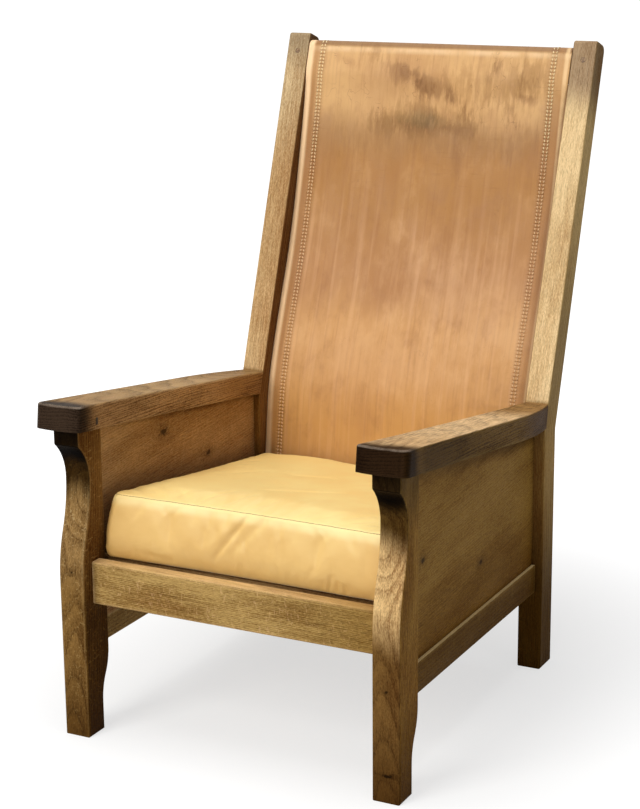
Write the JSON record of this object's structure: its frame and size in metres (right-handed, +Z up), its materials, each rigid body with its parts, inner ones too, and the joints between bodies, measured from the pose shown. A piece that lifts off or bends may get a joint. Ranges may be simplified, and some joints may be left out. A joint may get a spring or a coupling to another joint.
{
  "type": "smoking chair",
  "caption": "High-backed oak armchair with a leather sling back, broad sloping arms, plank sides, scooped front legs and a loose leather box cushion.",
  "frame": {"origin": "middle of the chair's outline box, on the floor", "axes": "+X to the right as seen from in front of the chair, +Y to its back, +Z up"},
  "size_m": [0.66, 0.9013, 1.1069],
  "materials": {
    "oak": "waxed, adzed, worn pale on edges",
    "oak_inside": "sawn and left plain",
    "oak_pegs": "end grain, waxed",
    "dark_plugs": "dark hardwood, flush",
    "steel_screws": "plain",
    "brass_nails": "aged dome heads",
    "leather_sling": "tan hide, stained and worn",
    "leather_cushion": "soft pale tan hide",
    "zip": "woven tape with metal teeth",
    "filling": "foam in a cotton bag"
  },
  "bodies": {
    "frame": {"front_leg_left": "oak", "front_leg_right": "oak", "back_post_left": "oak", "back_post_right": "oak", "front_seat_rail": "oak", "side_rail_left": "oak", "side_rail_right": "oak", "side_panel_left": "oak", "side_panel_right": "oak", "arm_left": "oak", "arm_right": "oak", "top_rail": "oak", "sling_bottom_rail": "oak", "back_seat_rail": "oak", "seat_bearer_left": "oak_inside", "seat_bearer_right": "oak_inside", "seat_slat_1": "oak_inside", "seat_slat_2": "oak_inside", "seat_slat_3": "oak_inside", "seat_slat_4": "oak_inside", "seat_slat_5": "oak_inside", "seat_slat_6": "oak_inside", "slat_screws": "steel_screws", "bearer_screws": "steel_screws", "top_rail_pegs": "oak_pegs", "arm_plugs": "dark_plugs", "sling_nails_top": "brass_nails", "sling_nails_bottom": "brass_nails", "leather_sling": "leather_sling"},
    "cushion": {"cushion_cover": "leather_cushion", "cushion_zip": "zip", "cushion_filling": "filling"}
  },
  "joints": [
    {"name": "cushion_lift_out", "type": "slide", "parent": "frame", "child": "cushion", "axis": [0, -0.9914, 0.1305], "range_m": [0, 0.585]}
  ]
}
